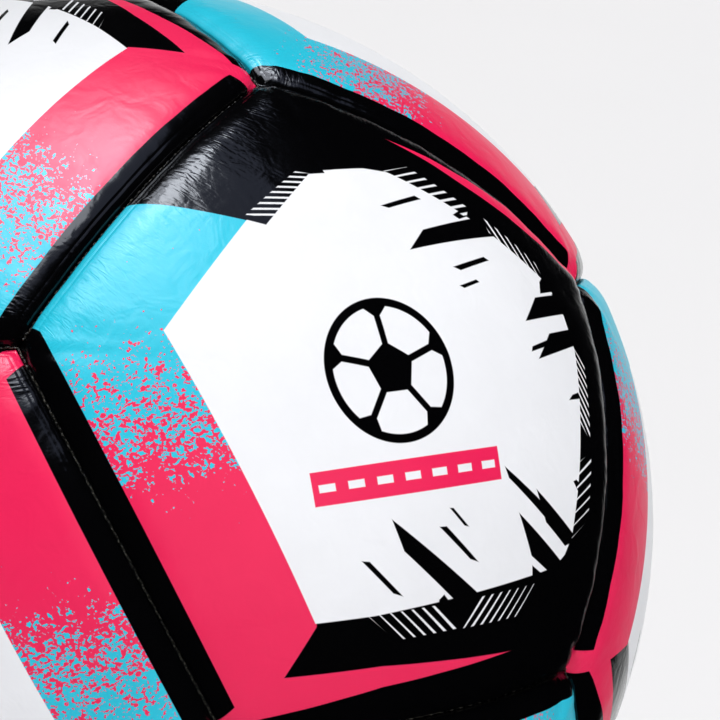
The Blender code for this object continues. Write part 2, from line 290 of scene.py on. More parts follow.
def waviness(columns, insets, seed, side):
    """Uneven pull of the stitches on the cover: low waves along the seam that die out inwards, and are
    highest near the corners."""
    random = np.random.default_rng(seed * SIDES + side)
    across = np.linspace(-1, 1, columns + 1)[None, :]
    inward = np.asarray(insets)[:, None]
    along = across * PANEL_REACH * math.tan(math.pi / SIDES)
    at_corner = np.abs(across) ** 8
    # The two sides that meet in a corner have to agree there, so the waves stop just before it.
    ends = np.clip((1 - np.abs(across)) / 0.05, 0, 1)
    total = np.zeros((inward.size, across.size))
    for length, height, reach in WAVES:
        phase = random.uniform(0, math.tau)
        lean = random.uniform(-WAVE_LEAN, WAVE_LEAN)
        wave = np.sin(math.tau * (along + lean * inward) / (length * MM) + phase)
        total += height * MM * wave * np.exp(-((inward / (reach * MM)) ** 2)) * (0.6 + 2.6 * at_corner)
    return total * ends * ends * (3 - 2 * ends)


COVER_COLUMNS = 60
COVER_ROWS = 34
COVER_CROWDING = 3.0
COVER_BACK_ROWS = 7
# How far down the flange its rows of points are, from its foot up.
FLANGE_ROWS = np.array((1.0, 0.55, 0.2, 0.06))
LIP_ROUNDING = 0.25 * MM


def cover_mesh(name, seed, hole):
    """A printed cover: the crowned face, the edge turned down into the seam, and the back of it."""
    mesh = GridMesh()
    insets = crowded(COVER_ROWS, COVER_CROWDING, COVER_EDGE, PANEL_REACH)
    back_insets = crowded(COVER_BACK_ROWS, 1.0, COVER_EDGE + COVER_THICKNESS, PANEL_REACH)
    falls = FLANGE_DEPTH * FLANGE_ROWS
    for side in range(SIDES):
        directions = sector(side, COVER_COLUMNS, insets, hole)
        radius = BALL_RADIUS - crown_drop(directions) + waviness(COVER_COLUMNS, insets, seed, side)
        radii = np.concatenate([radius[:1] - falls[:, None], radius])
        where = np.concatenate([np.repeat(directions[:1], falls.size, 0), directions])
        if hole:
            lips = np.array((LIP_ROUNDING, COVER_THICKNESS))
            radii = np.concatenate([radii, radius[-1:] - lips[:, None]])
            where = np.concatenate([where, np.repeat(directions[-1:], lips.size, 0)])
        mesh.add(where * radii[..., None], where, side)

        # The back starts at the flange's foot and has as many columns, so that the cover is closed.
        back = sector(side, COVER_COLUMNS, back_insets, hole)
        under = BALL_RADIUS - crown_drop(back) - COVER_THICKNESS
        foot = radius[:1] - FLANGE_DEPTH
        radii = np.concatenate([foot, foot, under])
        where = np.concatenate([directions[:1], back[:1], back])
        mesh.add(where * radii[..., None], where, side, outer=False)
    return mesh.make(name)


LAYER_COLUMNS = 20
LAYER_ROWS = 16
LAYER_CROWDING = 1.5
# How much thinner each face of a layer gets at its edge, and how far in that starts, as shares of its
# thickness.
LAYER_EDGE_FALL = 0.35
LAYER_EDGE_REACH = 0.8


def layer_mesh(name, radius, thickness, inset, hole, crowned=False):
    """A pad or a lining: a closed pentagon with softly rounded edges."""
    mesh = GridMesh()
    insets = crowded(LAYER_ROWS, LAYER_CROWDING, inset, PANEL_REACH)
    for side in range(SIDES):
        directions = sector(side, LAYER_COLUMNS, insets, hole)
        depth = side_distances(directions)[..., side] - inset
        near_edge = np.clip(1 - depth / (thickness * LAYER_EDGE_REACH), 0, 1)
        rounding = thickness * LAYER_EDGE_FALL * near_edge**2
        middle = radius - thickness / 2 - (crown_drop(directions) if crowned else 0)
        half = thickness / 2 - rounding
        radii = np.concatenate([(middle - half)[::-1], middle + half])
        where = np.concatenate([directions[::-1], directions])
        if hole:
            radii = np.concatenate([radii, (middle - half)[-1:]])
            where = np.concatenate([where, directions[-1:]])
        mesh.add(where * radii[..., None], where, side)
    return mesh.make(name)


def turned_mesh(name, profile, steps=72):
    """A solid turned about Z. The profile's points are (radius, height), and it comes back to its start
    or runs from axis to axis."""
    mesh = GridMesh()
    turns = np.linspace(0, math.tau, steps + 1)
    outline = np.array(profile)
    x = outline[:, :1] * np.cos(turns)
    y = outline[:, :1] * np.sin(turns)
    z = np.repeat(outline[:, 1:], steps + 1, 1)
    mesh.add(np.stack([x, y, z], -1))
    return mesh.make(name)


def rounded(profile, radius, steps=4):
    """The same outline with each marked corner, (x, y, True), turned into an arc."""
    found = []
    for i, (x, y, *mark) in enumerate(profile):
        if not mark:
            found.append((x, y))
            continue
        here = Vector((x, y))
        before = Vector(profile[i - 1][:2]) - here
        after = Vector(profile[(i + 1) % len(profile)][:2]) - here
        start = here + before.normalized() * min(radius, before.length / 2)
        end = here + after.normalized() * min(radius, after.length / 2)
        for step in range(steps + 1):
            share = step / steps
            bend = start.lerp(here, share).lerp(here.lerp(end, share), share)
            found.append((bend.x, bend.y))
    return found


def add_piece(mesh, material, replaces, placement=None):
    piece = bpy.data.objects.new(mesh.name, mesh)
    bpy.context.scene.collection.objects.link(piece)
    mesh.materials.append(material)
    if placement is not None:
        mesh.transform(placement.to_4x4())
    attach(piece, "root")
    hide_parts(*replaces)
    return piece


# The seam thread.


def neighbours_of(points):
    """For each corner, the three corners that a seam joins it to."""
    found = []
    for here in points:
        order = sorted(range(len(points)), key=lambda i: -points[i].dot(here))
        found.append(set(order[1:4]))
    return found


def paired(free, joined):
    """Pairs the free corners along seams, so that each corner is in one pair."""
    if not free:
        return []
    first = min(free)
    for other in sorted(joined[first] & free):
        rest = paired(free - {first, other}, joined)
        if rest is not None:
            return [(first, other), *rest]
    return None


def thread_routes():
    """The CAD's ten lengths of thread, each sewing three seams in a row."""
    points = corners()
    joined = neighbours_of(points)
    pairs = paired(frozenset(range(len(points))), joined)
    partner = dict(pairs) | {b: a for a, b in pairs}
    onward = {}
    for start in range(len(points)):
        here = start
        before = None
        while here not in onward:
            choices = sorted(joined[here] - {partner[here], before})
            onward[here] = choices[0]
            before = here
            here = onward[here]
    return [[points[i] for i in (onward[a], a, b, onward[b])] for a, b in pairs]


STITCH_PITCH = 1.05 * MM
STITCH_RISE = 0.4 * MM
STITCH_SWAY = 0.06 * MM
STITCH_STEPS = 6
CORD_SIDES = 6


def thread_mesh(name, route):
    """A cord that rises over each stitch and dips between them, along the bottom of the seams."""
    radius = BALL_RADIUS - THREAD_DEPTH
    seam_angle = route[0].angle(route[1])
    stitches = round(seam_angle * radius / STITCH_PITCH)
    points = []
    for start, end in zip(route, route[1:]):
        across = start.cross(end).normalized()
        for step in range(stitches * STITCH_STEPS):
            turn = step / STITCH_STEPS
            here = start.slerp(end, turn / stitches)
            swing = math.sin(math.pi * turn)
            rise = STITCH_RISE * (abs(swing) - 0.5)
            points.append(here * (radius + rise) + across * STITCH_SWAY * swing)
    points.append(route[-1] * radius)
    trim = round(THREAD_END_TRIM / STITCH_PITCH * STITCH_STEPS)
    path = np.array([tuple(point) for point in points[trim:-trim]])
    run = np.gradient(path, axis=0)
    run /= np.linalg.norm(run, axis=-1, keepdims=True)
    out = path / np.linalg.norm(path, axis=-1, keepdims=True)
    aside = np.cross(run, out)
    aside /= np.linalg.norm(aside, axis=-1, keepdims=True)
    out = np.cross(aside, run)
    turns = np.linspace(0, math.tau, CORD_SIDES + 1)[None, :, None]
    thickness = np.full(len(path), THREAD_RADIUS)
    thickness[[0, -1]] = 0
    offset = aside[:, None] * np.cos(turns) + out[:, None] * np.sin(turns)
    mesh = GridMesh()
    mesh.add(path[:, None] + offset * thickness[:, None, None])
    return mesh.make(name)


# Node materials.


class Nodes:
    """Short ways to add nodes to a material."""

    def __init__(self, tree):
        self.tree = tree

    def add(self, kind, **settings):
        node = self.tree.nodes.new(kind)
        for name, value in settings.items():
            setattr(node, name, value)
        return node

    def put(self, socket, value):
        if isinstance(value, bpy.types.NodeSocket):
            self.tree.links.new(value, socket)
        else:
            socket.default_value = value

    def math(self, operation, a, b=0.0, c=0.0):
        node = self.add("ShaderNodeMath", operation=operation)
        for socket, value in zip(node.inputs, (a, b, c)):
            self.put(socket, value)
        return node.outputs[0]

    def vector(self, operation, a, b, output="Vector"):
        node = self.add("ShaderNodeVectorMath", operation=operation)
        self.put(node.inputs[0], a)
        self.put(node.inputs[1], b)
        return node.outputs[output]

    def dot(self, a, b):
        return self.vector("DOT_PRODUCT", a, b, "Value")

    def stretch(self, at, scale):
        return self.vector("MULTIPLY", at, scale)

    def parts(self, at):
        node = self.add("ShaderNodeSeparateXYZ")
        self.put(node.inputs[0], at)
        return node.outputs

    def mix(self, share, a, b):
        node = self.add("ShaderNodeMix", data_type="RGBA")
        # A mix node's sockets for colours are its seventh and eighth inputs and its third output.
        for number, value in ((0, share), (6, a), (7, b)):
            self.put(node.inputs[number], value)
        return node.outputs[2]

    def noise(self, at, scale, detail=2.0, roughness=0.5, distortion=0.0):
        node = self.add("ShaderNodeTexNoise")
        names = ("Vector", "Scale", "Detail", "Roughness", "Distortion")
        for name, value in zip(names, (at, scale, detail, roughness, distortion)):
            self.put(node.inputs[name], value)
        return node.outputs["Fac"]

    def cells(self, at, scale, feature="F1", output="Distance"):
        node = self.add("ShaderNodeTexVoronoi", feature=feature)
        self.put(node.inputs["Vector"], at)
        self.put(node.inputs["Scale"], scale)
        return node.outputs[output]

    def spread(self, value, low, high, to_low=0.0, to_high=1.0):
        """Maps low..high to to_low..to_high and keeps it in that range."""
        node = self.add("ShaderNodeMapRange")
        names = ("Value", "From Min", "From Max", "To Min", "To Max")
        for name, number in zip(names, (value, low, high, to_low, to_high)):
            self.put(node.inputs[name], number)
        return node.outputs["Result"]

    def attribute(self, name):
        return self.add("ShaderNodeAttribute", attribute_name=name).outputs["Vector"]

    def bump(self, height, distance, strength=1.0, normal=None):
        """Bump whose height of 0..1 stands for a distance in metres."""
        node = self.add("ShaderNodeBump")
        self.put(node.inputs["Strength"], strength)
        self.put(node.inputs["Distance"], distance)
        self.put(node.inputs["Height"], height)
        if normal is not None:
            self.put(node.inputs["Normal"], normal)
        return node.outputs["Normal"]

    def place(self):
        """Object coordinates in millimetres."""
        return self.stretch(self.add("ShaderNodeTexCoord").outputs["Object"], (1000, 1000, 1000))


def new_material(name):
    made = bpy.data.materials.new(name)
    made.use_nodes = True
    return made, made.node_tree.nodes["Principled BSDF"].inputs


def srgb(code):
    """Linear colour from an RRGGBB code."""
    channels = [int(code[i : i + 2], 16) / 255 for i in (0, 2, 4)]
    return (*[c / 12.92 if c <= 0.04045 else ((c + 0.055) / 1.055) ** 2.4 for c in channels], 1.0)


# The print, in millimetres on the panel's flat pattern, with a corner of the panel at the top.

INK_BLACK = srgb("030304")
INK_WHITE = srgb("ECEDF1")
INK_PINK = srgb("EE1C56")
INK_CYAN = srgb("1FC0DA")
BACKING = srgb("3A3B3F")
EDGE_SOFTNESS = 0.16

COLOUR_BAND = [(-20.5, 34.2), (-60, 55.5), (-100, 20), (-60, -84), (-45, -64.8), (-24.3, -38)]
SLIVERS = [
    [(-31.7, -47.5), (-12, -47.4), (-12, -51.8), (-50, -58.7), (-50, -56)],
    [(-12.1, -47.4), (-12.1, -51.8), (17.5, -49.8)],
]
SIDE_STRIPE = [(-66.3, 24.2), (-72, 30.4), (-80, 20), (-48.5, -60), (-42.2, -53.4)]
PINK_MARKS = [
    [(18.5, 51.3), (34, 39.5), (45, 32.6), (61, 24.4), (61.2, 26.4), (46, 37.3)],
    [(60, 24.9), (71, 19.2), (82, 22), (69, 31.5), (61.2, 26.4)],
]
WHITE_FIELD = [
    (-41.5, 17), (-24.3, -38), (-13, -37.4), (24, -37.4), (28, -36.2), (33.4, -33.2), (36, -30),
    (48, 5), (48, 12), (44.7, 19.6), (33.2, 28.2), (27.5, 32), (22, 36), (17, 39.6), (12.5, 41.9),
    (5.5, 43.3), (-2, 42.9), (-9.9, 42.9), (-20.5, 34.2),
]
# Splinters of black that break the edge of the white field.
BLACK_MARKS = [
    [(-21.5, 34.9), (-17.2, 32.5), (-4.6, 42.5), (-8, 45), (-14, 45)],
    [(-6, 42.4), (-1.4, 42.2), (-1.5, 44), (-6, 44)],
    [(7, 33.8), (8.6, 33.2), (17.4, 35.3), (16.2, 36.1)],
    [(9, 24.2), (33.5, 27.9), (31, 32), (14, 28.3)],
    [(23.8, 32), (25.1, 31.1), (30, 32.6), (28, 34)],
    [(17.4, 20.6), (19, 19.9), (28, 22.2), (26.8, 22.9)],
    [(17.2, 16.9), (18.2, 16.4), (22.7, 17.6), (22, 18.1)],
    [(32.2, 10.2), (50, 12.7), (50, 16.6), (46, 16.3), (38.5, 15.2)],
    [(41.2, 16.2), (48, 17.2), (47, 20), (44.7, 20), (42.8, 18.8)],
    [(31.2, 4.4), (41, 6.2), (40, 7.2), (31.9, 5.4)],
    [(32.8, 3), (50, 6.2), (50, 9.5), (39.2, 8)],
    [(40.2, -4.8), (46, -4.6), (46, -3.2), (42, -3.8)],
    [(35.8, -17.7), (39, -22), (42, -19), (38.6, -19.6)],
    [(17.3, -15.1), (37, -30.8), (33.2, -30.8), (18, -17.2)],
    [(25.1, -19.9), (38, -31), (33.4, -31.6), (27.3, -26.2)],
    [(19.8, -23.5), (32.4, -34.6), (28.4, -36), (22.8, -31.8)],
    [(23, -33.6), (28.6, -37.6), (23.1, -39)],
    [(-8, -21), (10.4, -37.8), (4.2, -37.6), (-6.3, -26.7)],
    [(0.2, -36.3), (1.3, -35.5), (3.2, -38), (0, -38)],
    [(1.2, -23.5), (2.7, -23.6), (9.2, -30.8), (7.3, -30)],
    [(3.7, -20.6), (4.5, -20.7), (7.5, -24.3), (6.5, -24)],
    [(-14.6, -27.3), (-13.1, -27.6), (-7.2, -34.6), (-9.1, -33.8)],
]
# Fine white lines beside the field: the outline that they fill, the angle and spacing of the lines,
# and their width where the outline starts and at its third point.
HATCHES = [
    ([(-20.2, 35.4), (-15.4, 33.7), (-4.4, 42.4), (-7.2, 43.4)], -12, 1.30, 0.42, 0.42),
    ([(12, 42.2), (27.5, 31.6), (29.6, 34.2), (18.6, 43.5)], 13, 1.85, 0.35, 0.60),
    ([(32.3, 28.6), (44.9, 19.2), (44.7, 23.2), (32.4, 32.4)], 104, 1.75, 0.55, 0.30),
    ([(48, 5.3), (42.7, -8.6), (46.3, -12.8), (50.6, 2)], 122, 1.45, 0.35, 0.55),
    ([(36, -30.4), (42.5, -27.7), (45.9, -15), (39.8, -16.6)], 20, 1.95, 0.14, 0.48),
    ([(-14.3, -37.3), (-9, -42.6), (5, -42.4), (0.5, -37.3)], -48, 1.64, 0.12, 0.55),
    ([(5.5, -42.6), (19.5, -42.8), (24, -37.3), (9.9, -37.3)], 48, 1.64, 0.55, 0.10),
]
THIN_WHITE = [[(41.6, 15.9), (46.5, 16.6), (46.4, 17), (41.5, 16.2)]]

# The plain ornament on the two hub panels: a ball in outline over a dashed label bar.
BADGE_CENTRE = Vector((-2.7, 3.4))
BADGE_RADIUS = 11.6
BADGE_LINE = 1.5
BADGE_INNER_LINE = 1.2
BADGE_OVERLAP = 1.0
# How far from its centre the middle patch's corners and the rim patches' tips are.
BADGE_PATCH = 4.7
BADGE_RIM_PATCH = 8.6
BADGE_RIM_PATCH_HALF = 4.465
LABEL_LEFT = -21.6
LABEL_RIGHT = 16.1
LABEL_LOW = -17.2
LABEL_HIGH = -11.5
DASHES = 7
DASH_SHARE = 0.56
DASH_HEIGHT = 1.3


def box_outline(left, right, low, high):
    return [(left, low), (right, low), (right, high), (left, high)]


def label_dashes():
    pitch = (LABEL_RIGHT - LABEL_LEFT) / DASHES
    low = (LABEL_LOW + LABEL_HIGH - DASH_HEIGHT) / 2
    lefts = [LABEL_LEFT + pitch * (i + (1 - DASH_SHARE) / 2) for i in range(DASHES)]
    return [box_outline(x, x + pitch * DASH_SHARE, low, low + DASH_HEIGHT) for x in lefts]


def badge_outlines():
    """The lines and patches inside the badge: a pentagon, and a line from each corner to a patch."""
    around = [Vector((math.sin(turn), math.cos(turn))) for turn in np.arange(SIDES) * math.tau / SIDES]
    outlines = [[BADGE_CENTRE + out * BADGE_PATCH for out in around]]
    for out in around:
        aside = Vector((out.y, -out.x))
        half = aside * BADGE_INNER_LINE / 2
        start = BADGE_CENTRE + out * (BADGE_PATCH - BADGE_OVERLAP)
        end = BADGE_CENTRE + out * (BADGE_RIM_PATCH + BADGE_OVERLAP)
        outlines.append([start - half, start + half, end + half, end - half])
        tip = BADGE_CENTRE + out * BADGE_RIM_PATCH
        # Its far corners lie outside the badge, whose rim cuts the patch off.
        far = BADGE_CENTRE + out * BADGE_RADIUS * 1.1
        spread = aside * BADGE_RIM_PATCH_HALF
        outlines.append([tip, far + spread, far - spread])
    return [[tuple(point) for point in outline] for outline in outlines]


class Print(Nodes):
    """Ink shapes as distances in millimetres to their edges, below nought inside."""

    def __init__(self, tree):
        super().__init__(tree)
        self.at = self.attribute("print_at")

    def beyond(self, start, end):
        """Distance to the right of the line from start to end."""
        run = Vector(end) - Vector(start)
        out = Vector((run.y, -run.x)).normalized()
        return self.dot(self.at, (out.x, out.y, -out.dot(Vector(start))))

    def polygon(self, points):
        """A convex outline."""
        ring = list(zip(points, points[1:] + points[:1]))
        if sum(a[0] * b[1] - a[1] * b[0] for a, b in ring) < 0:
            ring = [(b, a) for a, b in ring]
        found = None
        for start, end in ring:
            edge = self.beyond(start, end)
            found = edge if found is None else self.math("MAXIMUM", found, edge)
        return found

    def polygons(self, outlines):
        return self.union([self.polygon(points) for points in outlines])

    def union(self, shapes):
        found = shapes[0]
        for shape in shapes[1:]:
            found = self.math("MINIMUM", found, shape)
        return found

    def hatch(self, outline, angle, pitch, width, last_width):
        """Parallel lines inside an outline. The first one starts at its first point."""
        turn = math.radians(angle)
        normal = Vector((-math.sin(turn), math.cos(turn)))
        first = Vector(outline[0])
        across = self.dot(self.at, (normal.x / pitch, normal.y / pitch, -normal.dot(first) / pitch))
        reach = Vector(outline[2]) - first
        slope = reach * (last_width - width) / reach.length_squared / 2
        half = self.dot(self.at, (slope.x, slope.y, width / 2 - slope.dot(first)))
        distance = self.math("MULTIPLY", self.math("PINGPONG", across, 0.5), pitch)
        return self.math("MAXIMUM", self.math("SUBTRACT", distance, half), self.polygon(outline))

    def badge(self):
        """The ball in outline: a ring round the badge's lines and patches."""
        reach = self.vector("DISTANCE", self.at, (*BADGE_CENTRE, 1), "Value")
        rim = self.math("SUBTRACT", reach, BADGE_RADIUS)
        ring = self.math("SUBTRACT", self.math("ABSOLUTE", rim), BADGE_LINE / 2)
        return self.union([ring, self.math("MAXIMUM", rim, self.polygons(badge_outlines()))])

    def ink(self, under, distance, colour):
        """Lays one ink over the colour so far."""
        return self.mix(self.spread(distance, EDGE_SOFTNESS / 2, -EDGE_SOFTNESS / 2), under, colour)


def band_colour(nodes):
    """Pink takes over from cyan down the band, in flakes that thin out at both ends. The height that the
    flakes' noise needs to turn pink rises up the band."""
    height = nodes.parts(nodes.at)["Y"]
    large = nodes.noise(nodes.stretch(nodes.at, (0.36, 0.46, 0)), 1.0, 1.0, 0.6, 0.9)
    small = nodes.noise(nodes.stretch(nodes.at, (1.05, 1.35, 0)), 1.0, 1.0, 0.6, 0.5)
    fine = nodes.noise(nodes.stretch(nodes.at, (1.9, 2.3, 0)), 1.0, 1.0, 0.5)
    flakes = nodes.math("MULTIPLY_ADD", small, 0.45, nodes.math("MULTIPLY", large, 0.37))
    flakes = nodes.math("MULTIPLY_ADD", fine, 0.18, flakes)
    needed = nodes.spread(height, -34, 30, 0.38, 0.63)
    needed = nodes.math("ADD", needed, nodes.spread(height, -20, -2, -0.15, 0.0))
    needed = nodes.math("ADD", needed, nodes.spread(height, 14, 26, 0.0, 0.13))
    flakes = nodes.math("SUBTRACT", flakes, needed)
    # A dust of single dots reaches further up into the cyan.
    dust = nodes.noise(nodes.stretch(nodes.at, (1.5, 1.7, 0)), 1.0, 0.0)
    dust = nodes.math("SUBTRACT", dust, nodes.spread(height, 4, 28, 0.68, 0.90))
    share = nodes.spread(nodes.math("MAXIMUM", flakes, dust), -0.01, 0.01)
    return nodes.mix(share, INK_CYAN, INK_PINK)


def print_colour(nodes, ornamented):
    """A panel's inks, laid one over another on black."""
    colour = nodes.ink(INK_BLACK, nodes.polygons([COLOUR_BAND, *SLIVERS]), band_colour(nodes))
    colour = nodes.ink(colour, nodes.polygon(SIDE_STRIPE), INK_BLACK)
    colour = nodes.ink(colour, nodes.polygons(PINK_MARKS), INK_PINK)
    colour = nodes.ink(colour, nodes.polygon(WHITE_FIELD), INK_WHITE)
    colour = nodes.ink(colour, nodes.polygons(BLACK_MARKS), INK_BLACK)
    lines = [nodes.hatch(*hatch) for hatch in HATCHES]
    colour = nodes.ink(colour, nodes.union([*lines, nodes.polygons(THIN_WHITE)]), INK_WHITE)
    if ornamented:
        label = box_outline(LABEL_LEFT, LABEL_RIGHT, LABEL_LOW, LABEL_HIGH)
        colour = nodes.ink(colour, nodes.badge(), INK_BLACK)
        colour = nodes.ink(colour, nodes.polygon(label), INK_PINK)
        colour = nodes.ink(colour, nodes.polygons(label_dashes()), INK_WHITE)
    return colour


CREASE_DEPTH = 0.09 * MM
STITCH_LINE_DEPTH = 0.06 * MM
STITCH_LINE_INSET = 1.8
RUMPLE_DEPTH = 0.16 * MM
GRAIN_DEPTH = 0.012 * MM


def film_normal(nodes, seam, place):
    """The relief of the film that is too fine for the mesh."""
    along, inward, _ = nodes.parts(seam)
    # Creases run across the seam where the film is pulled over the edge, and bunch up in the corners.
    creases = nodes.noise(nodes.stretch(seam, (0.8, 0.3, 1)), 1.0, 1.0, 0.5, 1.4)
    fade = nodes.spread(inward, 5.0, 14.0, 1.0, 0.06)
    fade = nodes.math("MULTIPLY", fade, nodes.spread(inward, 1.5, 5.0, 0.25, 1.0))
    # They are deepest round the top corner of the print.
    fade = nodes.math("MULTIPLY", fade, nodes.spread(nodes.parts(nodes.at)["Y"], 8.0, 34.0, 0.15, 1.0))
    in_corner = nodes.spread(nodes.math("ABSOLUTE", along), 31.0, 38.0)
    in_corner = nodes.math("MULTIPLY", in_corner, nodes.spread(inward, 3.0, 10.0, 1.3, 0.0))
    fade = nodes.math("MAXIMUM", fade, in_corner)
    normal = nodes.bump(nodes.math("MULTIPLY", creases, fade), CREASE_DEPTH)
    # The row of stitches draws the film down in a line beside the seam.
    from_row = nodes.math("ABSOLUTE", nodes.math("SUBTRACT", inward, STITCH_LINE_INSET))
    normal = nodes.bump(nodes.spread(from_row, 0.0, 0.4), STITCH_LINE_DEPTH, normal=normal)
    # Soft unevenness of the pad under the film, and a fine grain all over.
    rumples = nodes.noise(place, 0.18, 2.0, 0.5, 0.8)
    normal = nodes.bump(rumples, RUMPLE_DEPTH, normal=normal)
    grain = nodes.noise(place, 1.6, 2.0, 0.6)
    return nodes.bump(grain, GRAIN_DEPTH, normal=normal)


def cover_material(name, ornamented):
    made, shader = new_material(name)
    nodes = Print(made.node_tree)
    seam = nodes.attribute("seam_at")
    place = nodes.place()
    # Only the back of a cover has a place beside the seam that is below nought.
    on_back = nodes.math("LESS_THAN", nodes.parts(seam)["Y"], -0.5)
    colour = nodes.mix(on_back, print_colour(nodes, ornamented), BACKING)
    # Handling leaves the film very slightly uneven in tone.
    tone = nodes.spread(nodes.noise(place, 0.045, 4.0, 0.6), 0.3, 0.7, 0.955, 1.0)
    nodes.put(shader["Base Color"], nodes.stretch(colour, tone))
    nodes.put(shader["Normal"], film_normal(nodes, seam, place))
    # The black ink dries glossier than the pale ones.
    gloss = nodes.spread(nodes.noise(place, 0.09, 3.0), 0.3, 0.7, 0.12, 0.17)
    pale = nodes.spread(nodes.dot(colour, (0.33, 0.33, 0.33)), 0.02, 0.1, 0.0, 0.18)
    nodes.put(shader["Roughness"], nodes.math("ADD", gloss, pale))
    return made


def foam_material():
    """Closed cell foam: pale, matt and finely pitted."""
    made, shader = new_material("foam_pad")
    nodes = Nodes(made.node_tree)
    place = nodes.place()
    tone = nodes.spread(nodes.noise(place, 0.12, 4.0), 0.35, 0.65)
    nodes.put(shader["Base Color"], nodes.mix(tone, srgb("D9D3BE"), srgb("E6E1D0")))
    pits = nodes.spread(nodes.cells(place, 1.5), 0.1, 0.5)
    nodes.put(shader["Normal"], nodes.bump(pits, 0.12 * MM))
    nodes.put(shader["Roughness"], nodes.spread(pits, 0.0, 1.0, 0.95, 0.82))
    return made


WEAVE_PITCH = 0.9


def lining_material():
    """Plain weave laminated with latex."""
    made, shader = new_material("woven_lining")
    nodes = Nodes(made.node_tree)
    at = nodes.attribute("print_at")
    parts = nodes.parts(at)
    threads = []
    for axis, other in (("X", "Y"), ("Y", "X")):
        run = nodes.math("SINE", nodes.math("MULTIPLY", parts[axis], math.tau / WEAVE_PITCH))
        turn = nodes.math("SINE", nodes.math("MULTIPLY", parts[other], math.pi / WEAVE_PITCH))
        threads.append(nodes.math("MULTIPLY", run, nodes.math("MULTIPLY_ADD", turn, 0.5, 0.5)))
    weave = nodes.math("MULTIPLY_ADD", nodes.math("ADD", *threads), 0.25, 0.5)
    slubs = nodes.noise(nodes.stretch(at, (0.08, 1.6, 0)), 1.0, 3.0)
    tone = nodes.math("MULTIPLY_ADD", slubs, 0.6, nodes.math("MULTIPLY", weave, 0.4))
    tone = nodes.spread(tone, 0.3, 0.7)
    nodes.put(shader["Base Color"], nodes.mix(tone, srgb("A9A38F"), srgb("D2CDBB")))
    nodes.put(shader["Normal"], nodes.bump(weave, 0.16 * MM))
    nodes.put(shader["Roughness"], nodes.spread(weave, 0.0, 1.0, 0.95, 0.75))
    return made


def rubber_material(name, dark, light, roughness, grain):
    """Moulded rubber with a bloom that dulls it in patches."""
    made, shader = new_material(name)
    nodes = Nodes(made.node_tree)
    place = nodes.place()
    bloom = nodes.spread(nodes.noise(place, 0.07, 5.0, 0.65), 0.35, 0.7)
    nodes.put(shader["Base Color"], nodes.mix(bloom, srgb(dark), srgb(light)))
    pores = nodes.noise(place, grain, 3.0, 0.6)
    nodes.put(shader["Normal"], nodes.bump(pores, 0.05 * MM))
    nodes.put(shader["Roughness"], nodes.spread(bloom, 0.0, 1.0, roughness, roughness + 0.2))
    return made


def thread_material():
    """Waxed black cord with its strands just showing, and pale specks on it that are painted glints."""
    made, shader = new_material("waxed_thread")
    nodes = Nodes(made.node_tree)
    place = nodes.place()
    plies_and_painted_glints = nodes.noise(place, 4.0, 2.0)
    # Painted glints: pale specks laid into the cord's colour as highlights on the wax.
    pale = nodes.spread(plies_and_painted_glints, 0.5, 0.62)
    nodes.put(shader["Base Color"], nodes.mix(pale, srgb("0C0C0C"), srgb("6E6B62")))
    nodes.put(shader["Normal"], nodes.bump(plies_and_painted_glints, 0.10 * MM))
    nodes.put(shader["Roughness"], nodes.spread(plies_and_painted_glints, 0.3, 0.7, 0.30, 0.45))
    return made


CHIPS_PER_MM = 0.16


def chip_foam_material():
    """Foam chips bonded into one mass."""
    made, shader = new_material("bonded_foam")
    nodes = Nodes(made.node_tree)
    place = nodes.place()
    chips = nodes.cells(place, CHIPS_PER_MM, output="Color")
    shade = nodes.dot(chips, (0.5, 0.3, 0.2))
    colour = nodes.mix(nodes.spread(shade, 0.2, 0.8), srgb("8FA08A"), srgb("D8CFA8"))
    edges = nodes.spread(nodes.cells(place, CHIPS_PER_MM, "DISTANCE_TO_EDGE"), 0.0, 0.08)
    nodes.put(shader["Base Color"], nodes.mix(edges, srgb("6E7565"), colour))
    pits = nodes.noise(place, 1.6, 3.0, 0.7)
    height = nodes.math("MULTIPLY_ADD", edges, 0.7, nodes.math("MULTIPLY", pits, 0.3))
    nodes.put(shader["Normal"], nodes.bump(height, 0.7 * MM))
    nodes.put(shader["Roughness"], nodes.spread(pits, 0.3, 0.7, 0.85, 0.98))
    return made


# Pieces.


def add_covers(axes):
    plain = cover_material("printed_cover", ornamented=False)
    ornamented = cover_material("printed_cover_hub", ornamented=True)
    for seed, name in enumerate(axes):
        hole = VALVE_HOLE if name == VALVE_PANEL else 0.0
        mesh = cover_mesh(f"panel_{name}", seed, hole)
        material = ornamented if name in HUBS else plain
        add_piece(mesh, material, [f"cover_{name}"], print_frame(name, axes))


def add_layers(axes):
    """A pad and a woven lining under each cover."""
    foam = foam_material()
    lining = lining_material()
    for name in axes:
        hole = VALVE_HOLE if name == VALVE_PANEL else 0.0
        placement = print_frame(name, axes)
        mesh = layer_mesh(f"pad_{name}", FOAM_RADIUS, FOAM_THICKNESS, FOAM_INSET, hole, crowned=True)
        pad = add_piece(mesh, foam, [f"foam_{name}"], placement)
        mesh = layer_mesh(f"woven_{name}", LINING_RADIUS, LINING_THICKNESS, LINING_INSET, hole)
        cloth = add_piece(mesh, lining, [f"lining_{name}"], placement)


def add_threads():
    material = thread_material()
    for number, route in enumerate(thread_routes(), start=1):
        name = f"seam_thread_{number:02d}"
        add_piece(thread_mesh(f"stitching_{number:02d}", route), material, [name])


